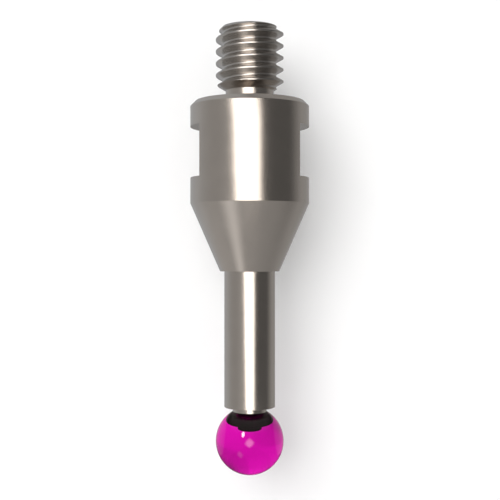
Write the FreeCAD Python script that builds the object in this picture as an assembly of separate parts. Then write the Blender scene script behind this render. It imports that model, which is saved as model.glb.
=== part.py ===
import FreeCAD, Part
import math
import os

from FreeCAD import Vector

# Touch-probe stylus: a turned steel holder with an M4 stud and two spanner flats, a ground stem
# bonded into it, and a ball bonded onto the stem's stepped spigot.
# Millimetres. The origin is the centre of the seating shoulder, +Z runs up the stud, the stem and
# the ball hang down along -Z, and the spanner flats face +X and -X.

# Threaded stud, a right-hand M4 x 0.7 metric thread
thread_diameter = 4.0
thread_pitch = 0.7
flank_angle = 60.0          # between the two flanks of one groove
stud_length = 4.4           # from the shoulder to the end face
stud_end_chamfer = 0.4      # at 45 degrees
relief_diameter = 2.84      # undercut between the shoulder and the first crest
relief_length = 0.64
lead_in_angle = 60.0        # of the cone from the undercut to the crests, from the axis
thread_clocking = 113.0     # degrees round from +X to where the groove starts

# Holder body, between the shoulder and the taper
body_diameter = 7.0
body_length = 6.0
shoulder_chamfer = 0.3      # at 45 degrees
across_flats = 5.75
flats_from_shoulder = 1.5   # from the shoulder to the flats' upper edge
flats_height = 3.0

# Taper below the body
taper_length = 4.0
taper_end_diameter = 3.5

# Stem, and the blind socket that holds it
stem_diameter = 3.0
stem_free_length = 8.0      # from the taper's end to the ball
stem_edge_break = 0.04
socket_depth = 6.0          # of the straight bore, up from the taper's end
drill_point_angle = 118.0

# Ball, and the stepped spigot that it sits on
ball_diameter = 4.0
spigot_diameter = 2.0
spigot_length = 1.15        # from the stem's end face to the step
tip_diameter = 0.9
tip_length = 0.35

# Adhesive films, the clearance of both bonded joints
stem_bond = 0.05
ball_bond = 0.03

# Heights that follow
taper_top = -body_length
taper_end = taper_top - taper_length
stem_end = taper_end - stem_free_length
spigot_end = stem_end - spigot_length
tip_end = spigot_end - tip_length
ball_centre = stem_end - ball_diameter / 2
socket_end = taper_end + socket_depth


def revolved(outline):
    """Solid of revolution about Z from (radius, height) points."""
    wire = Part.makePolygon([Vector(radius, 0, height) for radius, height in outline + outline[:1]])
    return Part.makeSolid(Part.Face(wire).revolve(Vector(0, 0, 0), Vector(0, 0, 1), 360).Shells[0])


def groove_turn():
    """The lowest turn of the space between the threads: a flat-rooted groove along the helix."""
    crest_radius = thread_diameter / 2
    triangle_height = thread_pitch / (2 * math.tan(math.radians(flank_angle / 2)))
    apex_radius = crest_radius - triangle_height * 7 / 8
    root_radius = crest_radius - triangle_height * 17 / 24
    cutter_radius = crest_radius + triangle_height / 16

    def half_width(radius):
        return (radius - apex_radius) * math.tan(math.radians(flank_angle / 2))

    start = thread_pitch / 2
    helix = Part.makeHelix(thread_pitch, thread_pitch, crest_radius)
    helix.translate(Vector(0, 0, start))
    corners = [
        Vector(cutter_radius, 0, start - half_width(cutter_radius)),
        Vector(root_radius, 0, start - half_width(root_radius)),
        Vector(root_radius, 0, start + half_width(root_radius)),
        Vector(cutter_radius, 0, start + half_width(cutter_radius)),
    ]
    profile = Part.makePolygon(corners + corners[:1])
    return Part.Wire(helix.Edges).makePipeShell([profile], True, True)


def drilled_socket():
    """The blind hole for the stem: a straight bore with a drill point above it."""
    radius = stem_diameter / 2 + stem_bond
    point = socket_end + radius / math.tan(math.radians(drill_point_angle / 2))
    return revolved([(0, taper_end), (radius, taper_end), (radius, socket_end), (0, point)])


def threaded_holder():
    """Stud, undercut, body with two flats and taper, turned from one bar."""
    stud = thread_diameter / 2
    relief = relief_diameter / 2
    body = body_diameter / 2
    crest_start = relief_length + (stud - relief) / math.tan(math.radians(lead_in_angle))
    holder = revolved([
        (0, stud_length),
        (stud - stud_end_chamfer, stud_length),
        (stud, stud_length - stud_end_chamfer),
        (stud, crest_start),
        (relief, relief_length),
        (relief, 0),
        (body - shoulder_chamfer, 0),
        (body, -shoulder_chamfer),
        (body, taper_top),
        (taper_end_diameter / 2, taper_end),
        (0, taper_end),
    ])
    turn = groove_turn()
    for level in range(math.ceil(stud_length / thread_pitch)):
        holder = holder.cut(turn.translated(Vector(0, 0, level * thread_pitch)))
    holder.rotate(Vector(0, 0, 0), Vector(0, 0, 1), thread_clocking)
    for side in (-1, 1):
        flat = Part.makeBox(
            body_diameter, 2 * body_diameter, flats_height,
            Vector(-body_diameter / 2, -body_diameter, -flats_from_shoulder - flats_height))
        flat.translate(Vector(side * (across_flats + body_diameter) / 2, 0, 0))
        holder = holder.cut(flat)
    return holder.cut(drilled_socket())


def stem():
    """Ground rod with a two-step spigot turned on its lower end."""
    rod = stem_diameter / 2
    return revolved([
        (0, socket_end),
        (rod - stem_edge_break, socket_end),
        (rod, socket_end - stem_edge_break),
        (rod, stem_end + stem_edge_break),
        (rod - stem_edge_break, stem_end),
        (spigot_diameter / 2, stem_end),
        (spigot_diameter / 2, spigot_end),
        (tip_diameter / 2, spigot_end),
        (tip_diameter / 2, tip_end),
        (0, tip_end),
    ])


def ball_blank():
    """The full ball, before it is bored."""
    return Part.makeSphere(ball_diameter / 2, Vector(0, 0, ball_centre))


def stepped_bore():
    """The blind hole in the ball, a bond's thickness larger than the spigot all round."""
    return revolved([
        (0, stem_end),
        (spigot_diameter / 2 + ball_bond, stem_end),
        (spigot_diameter / 2 + ball_bond, spigot_end - ball_bond),
        (tip_diameter / 2 + ball_bond, spigot_end - ball_bond),
        (tip_diameter / 2 + ball_bond, tip_end - ball_bond),
        (0, tip_end - ball_bond),
    ])


def stem_adhesive():
    """Sleeve of adhesive between the stem and its socket."""
    socket = Part.makeCylinder(stem_diameter / 2 + stem_bond, socket_depth, Vector(0, 0, taper_end))
    return socket.cut(stem())


def ball_adhesive():
    """Stepped cup of adhesive between the spigot and the ball."""
    return ball_blank().common(stepped_bore()).cut(stem())


pieces = {
    "threaded_holder": threaded_holder(),
    "stem": stem(),
    "ball": ball_blank().cut(stepped_bore()),
    "stem_adhesive": stem_adhesive(),
    "ball_adhesive": ball_adhesive(),
}

os.makedirs("parts", exist_ok=True)
for name, shape in pieces.items():
    solid = shape.Solids[0]
    print(name, "valid", shape.isValid(), "solids", len(shape.Solids), "mm3", round(solid.Volume, 4))
    solid.exportStep(f"parts/{name}.step")
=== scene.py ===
"""Touch-probe stylus: turned steel holder with an M4 stud, ground stem and magenta ruby ball."""
import math

import bmesh
import bpy
from bpy.props import FloatProperty, FloatVectorProperty, IntProperty, PointerProperty
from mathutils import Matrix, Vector


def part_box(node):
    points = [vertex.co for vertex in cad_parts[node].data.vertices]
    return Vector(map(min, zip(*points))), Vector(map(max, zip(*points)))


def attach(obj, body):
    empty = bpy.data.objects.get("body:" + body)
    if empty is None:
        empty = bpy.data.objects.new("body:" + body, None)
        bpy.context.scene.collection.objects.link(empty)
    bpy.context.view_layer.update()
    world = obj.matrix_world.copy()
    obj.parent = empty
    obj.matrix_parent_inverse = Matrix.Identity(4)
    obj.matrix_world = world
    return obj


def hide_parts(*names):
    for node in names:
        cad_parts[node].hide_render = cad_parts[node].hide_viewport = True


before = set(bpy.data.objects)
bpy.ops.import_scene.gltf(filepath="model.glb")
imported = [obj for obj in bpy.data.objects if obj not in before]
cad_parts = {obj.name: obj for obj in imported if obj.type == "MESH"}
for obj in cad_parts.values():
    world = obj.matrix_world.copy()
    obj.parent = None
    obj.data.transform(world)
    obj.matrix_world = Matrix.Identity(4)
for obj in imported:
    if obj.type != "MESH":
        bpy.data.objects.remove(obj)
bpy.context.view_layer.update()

bl_info = {
    "name": "Touch-probe stylus",
    "version": (1, 0, 0),
    "blender": (4, 5, 0),
    "location": "View3D > Sidebar > Stylus",
    "description": "Builds a ruby-ball stylus with its stage",
    "category": "Object",
}

HOLDER_LOW, HOLDER_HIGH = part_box("threaded_holder")
STEM_LOW, STEM_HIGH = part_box("stem")
BALL_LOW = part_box("ball")[0]
MM = 0.001
STEM_END = -18.0 * MM
BALL_RADIUS = (STEM_END - BALL_LOW[2]) / 2
BODY = "root"

SHOULDER_ROUND = 0.03 * MM  # rounding along the edges of undercut and shoulder
TAPER_ROUND = 0.015 * MM    # and along those of the taper
CREST_EDGE = 1 / 16         # of the pitch, from the middle of a crest to its edge
DRILL_HALF_ANGLE = 59.0     # of the drill point above the stem, in degrees
BALL_FACETS = 192           # round the ball
BALL_STEPS = 128            # from the ball's pole to its bore
FILM_FACETS = 96            # round the films of adhesive
BALL_SKIN = 0.995           # of the ball's radius; what lies nearer its centre is the bore
BALL_INDEX = 1.54           # refractive index
BUMP_DEPTH = 0.006 * MM     # depth of rings and grain
SOFTBOX_POWER = 3.0         # of the light that the steel mirrors
BACKDROP_REACH = 4000 * MM  # of floor and wall, to every side
BACKDROP_CURVE = 20 * MM    # radius between floor and wall
SENSOR_WIDTH = 36           # camera, in millimetres
FOCAL_LENGTH = 70.7         # camera, in millimetres

MIX_INPUTS = (0, 6, 7)      # where a Mix node has its factor and its two colours
MIX_RESULT = 2              # where it has its colour result

# Roughness, rings per metre, strength of rings, of grain and of the bump
FINISHES = {
    "Turned steel": (0.205, 26000.0, 0.1, 1.2, 0.6),
    "Thread steel": (0.24, 26000.0, 0.1, 0.3, 0.1),
    "Ground steel": (0.205, 40000.0, 0.1, 1.2, 0.6),
}


def length(name, description, default):
    """A length property, in metres."""
    return FloatProperty(
        name=name, description=description, default=default, unit="LENGTH", precision=6)


def angle(name, description, degrees):
    """An angle property, given in degrees."""
    return FloatProperty(
        name=name, description=description, default=math.radians(degrees), unit="ROTATION")


def colour(name, description, default):
    """A linear colour property."""
    return FloatVectorProperty(
        name=name, description=description, default=default, subtype="COLOR", size=3, min=0, max=1)


class StylusSizes(bpy.types.PropertyGroup):
    thread_radius: length("Thread radius", "Crest radius of the stud", 2.0 * MM)
    pitch: length("Pitch", "Height of one turn of the thread", 0.7 * MM)
    crest_round: length("Crest rounding", "Radius along both edges of the crest", 0.02 * MM)
    stud_top: length("Stud top", "Height of the stud's end face", HOLDER_HIGH[2])
    stud_chamfer: length("Stud chamfer", "45 degree chamfer on the stud's end", 0.4 * MM)
    relief_radius: length("Relief radius", "Radius of the undercut under the thread", 1.42 * MM)
    relief_length: length("Relief length", "Height of the undercut", 0.64 * MM)
    lead_in: angle("Lead-in", "Slope of the cone up to the crests, from the axis", 60)
    clocking: angle("Clocking", "Where the groove starts, round from +X", 113)
    body_radius: length("Body radius", "Radius of the holder's body", HOLDER_HIGH[0])
    shoulder_chamfer: length(
        "Shoulder chamfer", "45 degree chamfer round the shoulder", 0.3 * MM)
    flat_distance: length("Flat distance", "From the axis to one spanner flat", 2.875 * MM)
    flat_top: length("Flat top", "Height of the flats' upper edge", -1.5 * MM)
    flat_bottom: length("Flat bottom", "Height of the flats' lower edge", -4.5 * MM)
    taper_top: length("Taper top", "Height where the taper starts", -6.0 * MM)
    taper_end: length("Taper end", "Height of the taper's end face", HOLDER_LOW[2])
    taper_end_radius: length("Taper end radius", "Radius at the end of the taper", 1.75 * MM)
    stem_radius: length("Stem radius", "Radius of the stem", STEM_HIGH[0])
    stem_end: length("Stem end", "Height of the stem's lower face", STEM_END)
    stem_break: length("Stem edge break", "Rounding at the stem's ends", 0.03 * MM)
    stem_bond: length("Stem bond", "Thickness of the adhesive round the stem", 0.05 * MM)
    spigot_radius: length("Spigot radius", "Radius of the spigot in the ball", 1.0 * MM)
    spigot_end: length("Spigot end", "Height of the spigot's step", -19.15 * MM)
    tip_radius: length("Tip radius", "Radius of the spigot's tip", 0.45 * MM)
    tip_end: length("Tip end", "Height of the tip's end", STEM_LOW[2])
    ball_radius: length("Ball radius", "Radius of the ball", BALL_RADIUS)
    ball_bond: length("Ball bond", "Thickness of the adhesive in the ball", 0.03 * MM)
    columns: IntProperty(
        name="Columns", description="Facets round the holder; the stem has half of them",
        default=256, min=32)
    camera_distance: length("Camera distance", "From the axis to the camera", 58.0 * MM)
    camera_height: length(
        "Camera height", "Height of the camera, which looks level", -8.75 * MM)
    camera_side: length("Camera side", "Sideways place of the camera", 0.018 * MM)
    backdrop_distance: length(
        "Backdrop distance", "From the axis to the wall behind", 6.5 * MM)
    floor_height: length("Floor height", "Height of the floor under the ball", -40.0 * MM)


class StylusColours(bpy.types.PropertyGroup):
    steel: colour("Steel", "Warm grey of the turned and ground steel", (0.54, 0.488, 0.44))
    thread: colour("Thread", "Greyer steel of the rolled thread", (0.52, 0.49, 0.46))
    ruby: colour("Ruby", "Magenta of the ball", (0.78, 0.003, 0.46))
    bond: colour("Bond", "Cured adhesive", (0.003, 0.003, 0.003))
    softbox: colour("Softbox", "Light of the tall softbox", (1.0, 0.945, 0.90))
    backdrop: colour("Backdrop", "Floor and wall", (0.9, 0.9, 0.9))


def sizes():
    """The sizes of the stylus in this scene."""
    return bpy.context.scene.stylus_sizes


def colours():
    """The colours of the stylus in this scene."""
    return bpy.context.scene.stylus_colours


def link(name, mesh):
    """A new object with this mesh, at the origin of the row frame."""
    piece = bpy.data.objects.new(name, mesh)
    bpy.context.scene.collection.objects.link(piece)
    return piece


def surface_mesh(name, rows, crease=18.0):
    """A closed mesh through rows of points; rows that share points are welded to each other."""
    count = len(rows[0])
    points = [point for row in rows for point in row]
    faces = []
    for upper in range(len(rows) - 1):
        for column in range(count - 1):
            corner = upper * count + column
            faces.append((corner, corner + 1, corner + count + 1, corner + count))
    mesh = bpy.data.meshes.new(name)
    mesh.from_pydata(points, [], faces)
    shape = bmesh.new()
    shape.from_mesh(mesh)
    bmesh.ops.remove_doubles(shape, verts=shape.verts, dist=1e-7)
    bmesh.ops.dissolve_degenerate(shape, edges=shape.edges, dist=1e-8)
    bmesh.ops.recalc_face_normals(shape, faces=shape.faces)
    shape.to_mesh(mesh)
    shape.free()
    mesh.shade_smooth()
    mesh.set_sharp_from_angle(angle=math.radians(crease))
    return mesh


def rounded(outline, radius, steps=4):
    """The (radius, height) outline with its corners rounded.

    A corner stays sharp where it is nearly straight or its arms are too short for the curve.
    """
    result = [outline[0]]
    for before, corner, after in zip(outline, outline[1:], outline[2:]):
        arm_in = Vector(before) - Vector(corner)
        arm_out = Vector(after) - Vector(corner)
        half = arm_in.angle(arm_out) / 2
        cut = radius / math.tan(half)
        if cut > 0.45 * min(arm_in.length, arm_out.length) or half > math.radians(85):
            result.append(corner)
            continue
        start = Vector(corner) + arm_in.normalized() * cut
        end = Vector(corner) + arm_out.normalized() * cut
        for step in range(steps + 1):
            t = step / steps
            point = start * (1 - t) ** 2 + Vector(corner) * 2 * t * (1 - t) + end * t ** 2
            result.append((point.x, point.y))
    result.append(outline[-1])
    return result


def turned_rows(outline, columns):
    """Rows of points of the (radius, height) outline turned round Z."""
    turns = [2 * math.pi * column / columns for column in range(columns + 1)]
    return [[(r * math.cos(a), r * math.sin(a), z) for a in turns] for r, z in outline]


def thread_form(s, phase):
    """Radius of the thread at a phase of 0 to 1 round one pitch, with the crest at 0.

    The form is metric: 60 degrees between the flanks, flat crests and rounded roots.
    """
    height = s.pitch * math.sqrt(3) / 2
    off_crest = abs((phase + 0.5) % 1.0 - 0.5) * s.pitch
    off_root = s.pitch / 2 - off_crest
    root_round = height / 6
    apex = s.thread_radius - height * 7 / 8
    if off_root < root_round * math.cos(math.radians(30)):
        return apex + 2 * root_round - math.sqrt(root_round ** 2 - off_root ** 2)
    flank = apex + off_root * math.sqrt(3)
    reach = s.crest_round * math.tan(math.radians(30))
    edge = s.pitch * CREST_EDGE
    if off_crest <= edge - reach:
        return s.thread_radius
    if off_crest < edge + reach * 0.5:
        along = off_crest - (edge - reach)
        return s.thread_radius - s.crest_round + math.sqrt(
            max(s.crest_round ** 2 - along ** 2, 0))
    return min(flank, s.thread_radius)


def stud_blank(s, z):
    """Radius of the stud's blank at a height: undercut, lead-in cone, crests and end chamfer."""
    lead_in = s.relief_radius + (z - s.relief_length) * math.tan(s.lead_in)
    chamfer = s.thread_radius - (z - (s.stud_top - s.stud_chamfer))
    return min(max(lead_in, s.relief_radius), s.thread_radius, chamfer)


def thread_phases(s):
    """Row places within one pitch, close together where the form turns."""
    crest_steps, flank_steps, root_steps = 4, 7, 5
    reach = s.crest_round * math.tan(math.radians(30)) / s.pitch
    root = math.sqrt(3) / 12 * math.cos(math.radians(30))
    crest_end = CREST_EDGE - reach
    flank_start = crest_end + reach * 1.5
    flank_end = 0.5 - root
    flank = flank_end - flank_start
    falling = [0.0, crest_end]
    falling += [crest_end + reach * 1.5 * k / crest_steps for k in range(1, crest_steps + 1)]
    falling += [flank_start + flank * k / flank_steps for k in range(1, flank_steps)]
    falling += [flank_end + root * k / root_steps for k in range(root_steps + 1)]
    return falling + [1.0 - phase for phase in reversed(falling[1:-1])]


def holder_columns(s):
    """Azimuths of the holder's columns, four of them moved onto the flats' edges."""
    edge = math.acos(s.flat_distance / s.body_radius)
    turns = [2 * math.pi * column / s.columns for column in range(s.columns + 1)]
    for exact in (edge, math.pi - edge, math.pi + edge, 2 * math.pi - edge):
        nearest = min(range(len(turns)), key=lambda k: abs(turns[k] - exact))
        turns[nearest] = exact
    return turns


def thread_rows(s, turns, bottom):
    """Rows along the helix from the end face down to bottom, held between these two heights."""
    phases = thread_phases(s)
    start = s.pitch / 2
    first = math.floor(bottom / s.pitch) - 2
    last = math.ceil(s.stud_top / s.pitch) + 2
    places = [(turn + phase) * s.pitch for turn in range(first, last) for phase in phases]
    rows = []
    for place in reversed(places):
        row = []
        for a in turns:
            crest = start + s.pitch / 2 + s.pitch * (a - s.clocking) / (2 * math.pi)
            z = min(max(place + crest, bottom), s.stud_top)
            radius = min(thread_form(s, (z - crest) / s.pitch), stud_blank(s, z))
            row.append((radius * math.cos(a), radius * math.sin(a), z))
        rows.append(row)
    return rows


def body_rows(s, turns, bottom):
    """Rows from the undercut down over shoulder, flats and taper, and up the blind socket."""
    def ring(r, z):
        return [(r * math.cos(a), r * math.sin(a), z) for a in turns]

    def flat_ring(z):
        radii = [
            min(s.body_radius, s.flat_distance / max(abs(math.cos(a)), 1e-9)) for a in turns]
        return [(r * math.cos(a), r * math.sin(a), z) for r, a in zip(radii, turns)]

    socket = s.stem_radius + s.stem_bond
    socket_end = STEM_HIGH[2]
    point = socket_end + socket / math.tan(math.radians(DRILL_HALF_ANGLE))
    upper = rounded([
        (s.relief_radius, bottom),
        (s.relief_radius, 0),
        (s.body_radius - s.shoulder_chamfer, 0),
        (s.body_radius, -s.shoulder_chamfer),
        (s.body_radius, s.flat_top),
    ], SHOULDER_ROUND)
    lower = rounded([
        (s.body_radius, s.flat_bottom),
        (s.body_radius, s.taper_top),
        (s.taper_end_radius, s.taper_end),
        (socket, s.taper_end),
        (socket, socket_end),
        (0, point),
    ], TAPER_ROUND)
    bands = 6
    drop = s.flat_bottom - s.flat_top
    flats = [flat_ring(s.flat_top + drop * band / bands) for band in range(bands + 1)]
    return [ring(r, z) for r, z in upper] + flats + [ring(r, z) for r, z in lower]


def new_material(name):
    """An empty node material with its Principled BSDF and output joined."""
    material = bpy.data.materials.new(name)
    material.use_nodes = True
    nodes = material.node_tree.nodes
    nodes.clear()
    output = nodes.new("ShaderNodeOutputMaterial")
    shader = nodes.new("ShaderNodeBsdfPrincipled")
    material.node_tree.links.new(shader.outputs["BSDF"], output.inputs["Surface"])
    return material, shader


def group_tree(name, inputs, outputs):
    """A shader node group with these named sockets: (name, type, default)."""
    tree = bpy.data.node_groups.new(name, "ShaderNodeTree")
    for label, kind, default in inputs:
        socket = tree.interface.new_socket(name=label, in_out="INPUT", socket_type=kind)
        socket.default_value = default
    for label, kind in outputs:
        tree.interface.new_socket(name=label, in_out="OUTPUT", socket_type=kind)
    return tree, tree.nodes.new("NodeGroupInput"), tree.nodes.new("NodeGroupOutput")


def math_node(tree, operation, first, second=None, clamp=False):
    """The output of a Math node; each value is a number or a socket."""
    node = tree.nodes.new("ShaderNodeMath")
    node.operation = operation
    node.use_clamp = clamp
    for slot, value in zip(node.inputs, (first, second)):
        if value is None:
            continue
        if isinstance(value, (int, float)):
            slot.default_value = value
        else:
            tree.links.new(value, slot)
    return node.outputs[0]


def ramp(tree, source, stops):
    """A colour ramp over source; stops are (place, grey or colour)."""
    node = tree.nodes.new("ShaderNodeValToRGB")
    marks = node.color_ramp.elements
    while len(marks) > 1:
        marks.remove(marks[-1])
    for number, (place, value) in enumerate(stops):
        mark = marks[0] if number == 0 else marks.new(place)
        mark.position = place
        shade = value if isinstance(value, tuple) else (value, value, value)
        mark.color = (*shade, 1.0)
    tree.links.new(source, node.inputs["Fac"])
    return node.outputs["Color"]


def machined_group():
    """Turned and polished metal: rings round Z, fine grain and soft blotches."""
    existing = bpy.data.node_groups.get("Machined finish")
    if existing:
        return existing
    tree, given, result = group_tree(
        "Machined finish",
        [("Colour", "NodeSocketColor", (0.5, 0.5, 0.5, 1)),
         ("Roughness", "NodeSocketFloat", 0.3),
         ("Ring scale", "NodeSocketFloat", 30000.0),
         ("Rings", "NodeSocketFloat", 0.4),
         ("Grain", "NodeSocketFloat", 0.3)],
        [("Colour", "NodeSocketColor"),
         ("Roughness", "NodeSocketFloat"),
         ("Height", "NodeSocketFloat")])
    place = tree.nodes.new("ShaderNodeTexCoord")
    split = tree.nodes.new("ShaderNodeSeparateXYZ")
    tree.links.new(place.outputs["Object"], split.inputs[0])
    rings = tree.nodes.new("ShaderNodeTexNoise")
    rings.noise_dimensions = "1D"
    rings.inputs["Detail"].default_value = 3.0
    tree.links.new(split.outputs["Z"], rings.inputs["W"])
    tree.links.new(given.outputs["Ring scale"], rings.inputs["Scale"])
    grain = tree.nodes.new("ShaderNodeTexNoise")
    grain.inputs["Scale"].default_value = 16000.0
    grain.inputs["Detail"].default_value = 2.0
    tree.links.new(place.outputs["Object"], grain.inputs["Vector"])
    blotch = tree.nodes.new("ShaderNodeTexNoise")
    blotch.inputs["Scale"].default_value = 900.0
    blotch.inputs["Detail"].default_value = 3.0
    tree.links.new(place.outputs["Object"], blotch.inputs["Vector"])
    ring_part = math_node(tree, "MULTIPLY", given.outputs["Rings"], math_node(
        tree, "SUBTRACT", rings.outputs["Fac"], 0.5))
    grain_part = math_node(tree, "SUBTRACT", grain.outputs["Fac"], 0.5)
    blotch_part = math_node(tree, "SUBTRACT", blotch.outputs["Fac"], 0.5)
    fine = math_node(tree, "ADD", ring_part, math_node(
        tree, "MULTIPLY", grain_part, given.outputs["Grain"]))
    rough = math_node(
        tree, "ADD", given.outputs["Roughness"], math_node(tree, "MULTIPLY", fine, 0.10))
    rough = math_node(
        tree, "ADD", rough, math_node(tree, "MULTIPLY", blotch_part, 0.06), clamp=True)
    shade = math_node(tree, "ADD", 1.0, math_node(tree, "MULTIPLY", fine, 0.10))
    shade = math_node(tree, "ADD", shade, math_node(tree, "MULTIPLY", blotch_part, 0.10))
    tint = tree.nodes.new("ShaderNodeVectorMath")
    tint.operation = "SCALE"
    tree.links.new(given.outputs["Colour"], tint.inputs[0])
    tree.links.new(shade, tint.inputs["Scale"])
    tree.links.new(tint.outputs[0], result.inputs["Colour"])
    tree.links.new(rough, result.inputs["Roughness"])
    tree.links.new(math_node(tree, "ADD", fine, 0.5), result.inputs["Height"])
    return tree


def steel_material(name, base):
    """Warm grey steel with the machined finish of this name."""
    roughness, ring_scale, rings, grain, bump = FINISHES[name]
    material, shader = new_material(name)
    tree = material.node_tree
    finish = tree.nodes.new("ShaderNodeGroup")
    finish.node_tree = machined_group()
    finish.inputs["Colour"].default_value = (*base, 1)
    finish.inputs["Roughness"].default_value = roughness
    finish.inputs["Ring scale"].default_value = ring_scale
    finish.inputs["Rings"].default_value = rings
    finish.inputs["Grain"].default_value = grain
    relief = tree.nodes.new("ShaderNodeBump")
    relief.inputs["Strength"].default_value = bump
    relief.inputs["Distance"].default_value = BUMP_DEPTH
    shader.inputs["Metallic"].default_value = 1.0
    tree.links.new(finish.outputs["Colour"], shader.inputs["Base Color"])
    tree.links.new(finish.outputs["Roughness"], shader.inputs["Roughness"])
    tree.links.new(finish.outputs["Height"], relief.inputs["Height"])
    tree.links.new(relief.outputs["Normal"], shader.inputs["Normal"])
    return material


def ruby_material():
    """Clear polished magenta corundum, with faint veils of deeper colour."""
    material, shader = new_material("Ruby")
    tree = material.node_tree
    place = tree.nodes.new("ShaderNodeTexCoord")
    veil = tree.nodes.new("ShaderNodeTexNoise")
    veil.inputs["Scale"].default_value = 500.0
    veil.inputs["Detail"].default_value = 2.0
    tree.links.new(place.outputs["Object"], veil.inputs["Vector"])
    base = colours().ruby
    tint = ramp(tree, veil.outputs["Fac"], [
        (0.3, tuple(channel * 0.95 for channel in base)), (0.7, tuple(base))])
    tree.links.new(tint, shader.inputs["Base Color"])
    shader.inputs["Transmission Weight"].default_value = 1.0
    shader.inputs["IOR"].default_value = BALL_INDEX
    shader.inputs["Roughness"].default_value = 0.0
    return material


def bond_material():
    """Dark cured adhesive, slightly uneven."""
    material, shader = new_material("Adhesive")
    tree = material.node_tree
    place = tree.nodes.new("ShaderNodeTexCoord")
    clumps = tree.nodes.new("ShaderNodeTexNoise")
    clumps.inputs["Scale"].default_value = 5000.0
    tree.links.new(place.outputs["Object"], clumps.inputs["Vector"])
    base = colours().bond
    tint = ramp(tree, clumps.outputs["Fac"], [
        (0.3, tuple(base)), (0.7, tuple(channel * 2 for channel in base))])
    tree.links.new(tint, shader.inputs["Base Color"])
    shader.inputs["Roughness"].default_value = 0.5
    shader.inputs["Specular IOR Level"].default_value = 0.05
    return material


class STYLUS_OT_holder(bpy.types.Operator):
    """Turns the holder: threaded stud, undercut, body with two flats, taper and blind socket"""
    bl_idname = "stylus.holder"
    bl_label = "Threaded holder"

    def execute(self, context):
        s = sizes()
        turns = holder_columns(s)
        bottom = s.relief_length / 2
        rows = [[(0, 0, s.stud_top)] * len(turns)]
        rows += thread_rows(s, turns, bottom) + body_rows(s, turns, bottom)
        piece = link("turned_holder", surface_mesh("turned_holder", rows))
        piece.data.materials.append(steel_material("Turned steel", colours().steel))
        piece.data.materials.append(steel_material("Thread steel", colours().thread))
        for face in piece.data.polygons:
            face.material_index = 1 if face.center.z > s.relief_length else 0
        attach(piece, BODY)
        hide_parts("threaded_holder")
        return {"FINISHED"}


class STYLUS_OT_stem(bpy.types.Operator):
    """Grinds the stem with its two-step spigot"""
    bl_idname = "stylus.stem"
    bl_label = "Stem"

    def execute(self, context):
        s = sizes()
        outline = rounded([
            (0, STEM_HIGH[2]),
            (s.stem_radius, STEM_HIGH[2]),
            (s.stem_radius, s.stem_end),
            (s.spigot_radius, s.stem_end),
            (s.spigot_radius, s.spigot_end),
            (s.tip_radius, s.spigot_end),
            (s.tip_radius, s.tip_end),
            (0, s.tip_end),
        ], s.stem_break)
        rows = turned_rows(outline, s.columns // 2)
        piece = link("ground_stem", surface_mesh("ground_stem", rows))
        piece.data.materials.append(steel_material("Ground steel", colours().steel))
        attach(piece, BODY)
        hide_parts("stem")
        return {"FINISHED"}


def bore_outline(s):
    """The ball's stepped bore from its mouth to its end, as (radius, height)."""
    centre = s.stem_end - s.ball_radius
    wide = s.spigot_radius + s.ball_bond
    narrow = s.tip_radius + s.ball_bond
    return [
        (wide, centre + math.sqrt(s.ball_radius ** 2 - wide ** 2)),
        (wide, s.spigot_end - s.ball_bond),
        (narrow, s.spigot_end - s.ball_bond),
        (narrow, s.tip_end - s.ball_bond),
        (0, s.tip_end - s.ball_bond),
    ]


class STYLUS_OT_ball(bpy.types.Operator):
    """Makes the ball with its stepped blind bore; the bore's wall wears the adhesive"""
    bl_idname = "stylus.ball"
    bl_label = "Ball"

    def execute(self, context):
        s = sizes()
        centre = s.stem_end - s.ball_radius
        bore = bore_outline(s)
        mouth = math.asin(bore[0][0] / s.ball_radius)
        skin = []
        for step in range(BALL_STEPS + 1):
            turn = math.pi - (math.pi - mouth) * step / BALL_STEPS
            skin.append((s.ball_radius * math.sin(turn), centre + s.ball_radius * math.cos(turn)))
        skin[0] = (0, centre - s.ball_radius)
        mesh = surface_mesh("ruby_ball", turned_rows(skin + bore[1:], BALL_FACETS), crease=30.0)
        piece = link("ruby_ball", mesh)
        mesh.materials.append(ruby_material())
        mesh.materials.append(bond_material())
        middle = Vector((0, 0, centre))
        for face in mesh.polygons:
            inside = (face.center - middle).length < BALL_SKIN * s.ball_radius
            face.material_index = 1 if inside else 0
        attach(piece, BODY)
        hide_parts("ball")
        return {"FINISHED"}


class STYLUS_OT_bonds(bpy.types.Operator):
    """Fills both bonded joints with adhesive"""
    bl_idname = "stylus.bonds"
    bl_label = "Adhesive films"

    def execute(self, context):
        s = sizes()
        centre = s.stem_end - s.ball_radius
        cup = bore_outline(s)
        mouth = centre + math.sqrt(s.ball_radius ** 2 - s.spigot_radius ** 2)
        cup += [
            (0, s.tip_end),
            (s.tip_radius, s.tip_end),
            (s.tip_radius, s.spigot_end),
            (s.spigot_radius, s.spigot_end),
            (s.spigot_radius, mouth),
            cup[0],
        ]
        outer = s.stem_radius + s.stem_bond
        top = STEM_HIGH[2]
        sleeve = [
            (s.stem_radius, top),
            (outer, top),
            (outer, s.taper_end),
            (s.stem_radius, s.taper_end),
            (s.stem_radius, top),
        ]
        for name, outline, node in (
                ("ball_bond_cup", cup, "ball_adhesive"),
                ("stem_bond_sleeve", sleeve, "stem_adhesive")):
            piece = link(name, surface_mesh(name, turned_rows(outline, FILM_FACETS)))
            piece.data.materials.append(bpy.data.materials["Adhesive"])
            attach(piece, BODY)
            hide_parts(node)
        return {"FINISHED"}


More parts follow.
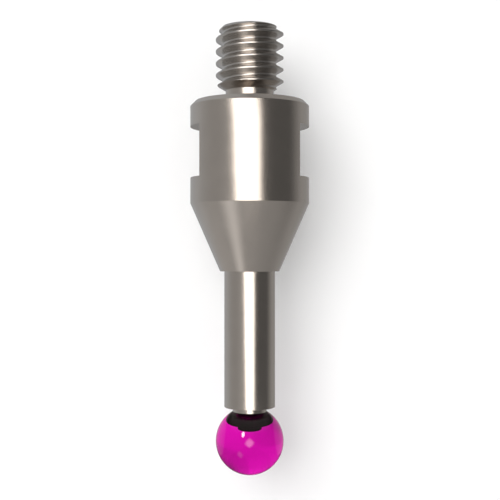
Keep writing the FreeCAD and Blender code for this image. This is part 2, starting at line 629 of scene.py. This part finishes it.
def backdrop_material():
    """Pale matt card that takes shadows, and isn't there for gloss or from behind."""
    material, shader = new_material("Backdrop card")
    tree = material.node_tree
    output = next(node for node in tree.nodes if node.type == "OUTPUT_MATERIAL")
    place = tree.nodes.new("ShaderNodeTexCoord")
    fibre = tree.nodes.new("ShaderNodeTexNoise")
    fibre.inputs["Scale"].default_value = 400.0
    tree.links.new(place.outputs["Object"], fibre.inputs["Vector"])
    base = colours().backdrop
    tint = ramp(tree, fibre.outputs["Fac"], [
        (0.3, tuple(channel * 0.995 for channel in base)), (0.7, tuple(base))])
    tree.links.new(tint, shader.inputs["Base Color"])
    shader.inputs["Roughness"].default_value = 0.9
    shader.inputs["Specular IOR Level"].default_value = 0.0
    shader.inputs["Emission Color"].default_value = (1, 1, 1, 1)
    shader.inputs["Emission Strength"].default_value = 0.02
    clear = tree.nodes.new("ShaderNodeBsdfTransparent")
    geometry = tree.nodes.new("ShaderNodeNewGeometry")
    path = tree.nodes.new("ShaderNodeLightPath")
    side = tree.nodes.new("ShaderNodeMixShader")
    unseen = math_node(
        tree, "MAXIMUM", geometry.outputs["Backfacing"], path.outputs["Is Glossy Ray"])
    tree.links.new(unseen, side.inputs["Fac"])
    tree.links.new(shader.outputs[0], side.inputs[1])
    tree.links.new(clear.outputs[0], side.inputs[2])
    tree.links.new(side.outputs[0], output.inputs["Surface"])
    return material


def backdrop():
    """Floor and wall in one sheet, joined by a wide curve."""
    s = sizes()
    steps = 16
    profile = [(-BACKDROP_REACH, s.floor_height)]
    for step in range(steps + 1):
        turn = math.pi / 2 * step / steps
        profile.append((
            s.backdrop_distance - BACKDROP_CURVE + BACKDROP_CURVE * math.sin(turn),
            s.floor_height + BACKDROP_CURVE - BACKDROP_CURVE * math.cos(turn)))
    profile.append((s.backdrop_distance, BACKDROP_REACH))
    points = [(x, y, z) for y, z in profile for x in (-BACKDROP_REACH, BACKDROP_REACH)]
    faces = [(2 * k, 2 * k + 1, 2 * k + 3, 2 * k + 2) for k in range(len(profile) - 1)]
    mesh = bpy.data.meshes.new("backdrop")
    mesh.from_pydata(points, [], faces)
    mesh.shade_smooth()
    mesh.materials.append(backdrop_material())
    card = link("backdrop", mesh)


def at(degrees):
    """Where a bearing or an elevation lies on a ramp that covers one full turn."""
    return 0.5 + degrees / 360


def around(stops):
    """Ramp stops whose places are given in degrees."""
    return [(at(degrees), shade) for degrees, shade in stops]


def blended(tree, factor, first, second, blend="MIX"):
    """The colour output of a Mix node; each input is a number, a colour or a socket."""
    node = tree.nodes.new("ShaderNodeMix")
    node.data_type = "RGBA"
    node.blend_type = blend
    for place, value in zip(MIX_INPUTS, (factor, first, second)):
        if isinstance(value, (int, float, tuple)):
            node.inputs[place].default_value = value
        else:
            tree.links.new(value, node.inputs[place])
    return node.outputs[MIX_RESULT]


def panel(tree, share, tall, bearing, elevation, wide, high, power):
    """A bright window, soft at its edge, between a lozenge and an ellipse in shape."""
    bulge = 1.4
    across = math_node(
        tree, "DIVIDE", math_node(tree, "SUBTRACT", share, at(bearing)), wide / 360)
    along = math_node(
        tree, "DIVIDE", math_node(tree, "SUBTRACT", tall, at(elevation)), high / 360)
    distance = math_node(
        tree, "ADD",
        math_node(tree, "POWER", math_node(tree, "ABSOLUTE", across), bulge),
        math_node(tree, "POWER", math_node(tree, "ABSOLUTE", along), bulge))
    window = ramp(tree, distance, [(0.35, 1.0), (1.0, 0.0)])
    return math_node(tree, "MULTIPLY", window, power)


def metal_studio(tree, share, tall):
    """What steel mirrors: grey walls and floor, a tall warm softbox, and a glow above it.

    With height, the softbox's left edge leans to the left all the way, and its right edge
    from 10 degrees up.
    """
    walls = ramp(tree, share, around([
        (-180, 0.30), (-172, 0.30), (-162, (0.48, 0.50, 0.52)), (-120, (0.52, 0.54, 0.56)),
        (-100, (0.44, 0.45, 0.46)), (-80, 0.40), (-65, 0.39), (-48, 0.41), (-32, 0.50),
        (18, 0.30), (32, 0.14), (45, 0.12), (84, 0.12), (98, 0.24), (116, 0.40),
        (143, 0.38), (165, 0.42), (172, 0.30), (180, 0.30)]))
    floor = ramp(tree, share, around([
        (-180, 0.56), (-100, 0.50), (-70, 0.46), (-44, 0.95), (-20, 0.45), (60, 0.36),
        (90, 0.32), (180, 0.46)]))
    below = ramp(tree, tall, around([(-32, 1.0), (-18, 0.0)]))
    room = blended(tree, below, walls, floor)

    lean_below, lean_above, lean_right = 0.4, 0.75, 0.9
    rise = math_node(tree, "SUBTRACT", tall, 0.5)
    shift_left = math_node(
        tree, "MAXIMUM",
        math_node(tree, "MULTIPLY", rise, lean_below),
        math_node(tree, "MULTIPLY", rise, lean_above))
    over = math_node(tree, "MAXIMUM", math_node(tree, "SUBTRACT", tall, at(10)), 0.0)
    shift_right = math_node(tree, "MULTIPLY", over, lean_right)
    box_left = ramp(
        tree, math_node(tree, "ADD", share, shift_left), around([(-28, 0.0), (-21.5, 1.0)]))
    box_right = ramp(
        tree, math_node(tree, "ADD", share, shift_right), around([(17.2, 1.0), (22.4, 0.0)]))
    box_tall = ramp(tree, tall, around([(-38, 0.0), (-22, 1.0), (14, 1.0), (40, 0.0)]))
    box = math_node(tree, "MULTIPLY", math_node(tree, "MULTIPLY", box_left, box_right), box_tall)
    light = tuple(SOFTBOX_POWER * channel for channel in colours().softbox) + (1.0,)
    boxed = blended(tree, box, room, light, "ADD")

    glow = math_node(
        tree, "ADD",
        panel(tree, share, tall, -27, 47, 22, 18, 1.25),
        panel(tree, share, tall, -5, 44, 100, 18, 0.09))
    return blended(tree, 1.0, boxed, glow, "ADD")


def ball_studio(tree, share, tall, split):
    """What the ball's skin mirrors: a dark room, pale above and towards both rims, with windows."""
    overhead = ramp(tree, tall, around([(30, 0.08), (48, 0.32), (70, 0.42)]))
    facing = math_node(tree, "SQRT", math_node(
        tree, "SUBTRACT", 2.0, math_node(tree, "MULTIPLY", split.outputs["Y"], 2.0)))
    side = math_node(
        tree, "DIVIDE", math_node(tree, "ABSOLUTE", split.outputs["X"]), facing)
    rims = ramp(tree, side, [(0.725, 0.0), (0.75, 0.24), (1.0, 0.38)])
    light = math_node(tree, "ADD", overhead, rims)
    for bearing, elevation, wide, high, power in (
            (-25, 29, 9, 11, 22.0),
            (-0.5, 2, 18, 18, 3.6),
            (-37, -37, 14, 14, 0.8)):
        window = panel(tree, share, tall, bearing, elevation, wide, high, power)
        light = math_node(tree, "ADD", light, window)
    return blended(tree, 1.0, light, (1.0, 0.93, 0.86, 1.0), "MULTIPLY")


def glass_view(tree, split):
    """What is seen through the ball: pale, brighter above, deeper at upper right and lower left."""
    skew = math_node(tree, "MULTIPLY", split.outputs["X"], split.outputs["Z"])
    corners = ramp(tree, math_node(tree, "ADD", skew, 0.5), [
        (0.42, 1.0), (0.5, 0.96), (0.53, 0.82), (0.7, 0.68), (0.85, 0.45)])
    height = math_node(tree, "MULTIPLY", split.outputs["Z"], 0.5)
    level = ramp(tree, math_node(tree, "ADD", height, 0.5), [
        (0.3, 1.0), (0.5, 0.92), (0.58, 0.92), (0.67, 1.0), (0.76, 1.04), (0.92, 1.5)])
    return blended(tree, 1.0, corners, level, "MULTIPLY")


def studio_world():
    """White to the camera, with other light for gloss, for shade and for the view through glass."""
    world = bpy.data.worlds.new("Studio")
    bpy.context.scene.world = world
    world.use_nodes = True
    tree = world.node_tree
    tree.nodes.clear()
    place = tree.nodes.new("ShaderNodeTexCoord")
    split = tree.nodes.new("ShaderNodeSeparateXYZ")
    tree.links.new(place.outputs["Generated"], split.inputs[0])
    toward = math_node(tree, "MULTIPLY", split.outputs["Y"], -1.0)
    bearing = math_node(tree, "ARCTAN2", split.outputs["X"], toward)
    share = math_node(tree, "ADD", math_node(tree, "DIVIDE", bearing, 2 * math.pi), 0.5)
    elevation = math_node(
        tree, "DIVIDE", math_node(tree, "ARCSINE", split.outputs["Z"]), 2 * math.pi)
    tall = math_node(tree, "ADD", elevation, 0.5)
    path = tree.nodes.new("ShaderNodeLightPath")
    light = metal_studio(tree, share, tall)
    for ray, seen in (
            ("Is Singular Ray", ball_studio(tree, share, tall, split)),
            ("Is Diffuse Ray", (0.435, 0.435, 0.435, 1.0)),
            ("Is Transmission Ray", glass_view(tree, split)),
            ("Is Camera Ray", (1.0, 1.0, 1.0, 1.0))):
        light = blended(tree, path.outputs[ray], light, seen)
    background = tree.nodes.new("ShaderNodeBackground")
    tree.links.new(light, background.inputs["Color"])
    output = tree.nodes.new("ShaderNodeOutputWorld")
    tree.links.new(background.outputs[0], output.inputs["Surface"])


def lamp(name, azimuth, elevation, distance, size, power):
    """A square area lamp aimed at the stylus; azimuth 0 is the camera's side, 90 is +X."""
    data = bpy.data.lights.new(name, "AREA")
    data.size = size
    data.energy = power
    thing = bpy.data.objects.new(name, data)
    a = math.radians(azimuth)
    e = math.radians(elevation)
    way = Vector((math.sin(a) * math.cos(e), -math.cos(a) * math.cos(e), math.sin(e)))
    middle = Vector((0, 0, sizes().camera_height))
    thing.location = middle + way * distance
    thing.rotation_euler = way.to_track_quat("Z", "Y").to_euler()
    thing.visible_glossy = False
    thing.visible_transmission = False
    bpy.context.scene.collection.objects.link(thing)


class STYLUS_OT_stage(bpy.types.Operator):
    """Sets the pale backdrop, the studio light and the camera"""
    bl_idname = "stylus.stage"
    bl_label = "Stage"

    def execute(self, context):
        s = sizes()
        backdrop()
        studio_world()
        lamp("key", azimuth=-16, elevation=14, distance=500 * MM, size=320 * MM, power=1.54)
        data = bpy.data.cameras.new("camera")
        data.sensor_width = SENSOR_WIDTH
        data.lens = FOCAL_LENGTH
        data.clip_start = 1 * MM
        data.clip_end = 10
        camera = bpy.data.objects.new("camera", data)
        camera.location = (s.camera_side, -s.camera_distance, s.camera_height)
        camera.rotation_euler = (math.radians(90), 0, 0)
        context.scene.collection.objects.link(camera)
        context.scene.camera = camera
        context.scene.view_settings.view_transform = "Standard"
        return {"FINISHED"}


class STYLUS_PT_panel(bpy.types.Panel):
    """Lists the pieces, the sizes and the colours"""
    bl_idname = "STYLUS_PT_panel"
    bl_label = "Stylus"
    bl_space_type = "VIEW_3D"
    bl_region_type = "UI"
    bl_category = "Stylus"

    def draw(self, context):
        for operator in OPERATORS:
            self.layout.operator(operator.bl_idname)
        for group in (context.scene.stylus_colours, context.scene.stylus_sizes):
            for name in group.bl_rna.properties.keys():
                if name not in ("rna_type", "name"):
                    self.layout.prop(group, name)


OPERATORS = (STYLUS_OT_holder, STYLUS_OT_stem, STYLUS_OT_ball, STYLUS_OT_bonds, STYLUS_OT_stage)
CLASSES = (StylusSizes, StylusColours) + OPERATORS + (STYLUS_PT_panel,)


def register():
    for item in CLASSES:
        bpy.utils.register_class(item)
    bpy.types.Scene.stylus_sizes = PointerProperty(type=StylusSizes)
    bpy.types.Scene.stylus_colours = PointerProperty(type=StylusColours)


def unregister():
    del bpy.types.Scene.stylus_colours
    del bpy.types.Scene.stylus_sizes
    for item in reversed(CLASSES):
        bpy.utils.unregister_class(item)


def main():
    """Registers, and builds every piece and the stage."""
    register()
    bpy.ops.stylus.holder()
    bpy.ops.stylus.stem()
    bpy.ops.stylus.ball()
    bpy.ops.stylus.bonds()
    bpy.ops.stylus.stage()


if __name__ == "__main__":
    main()
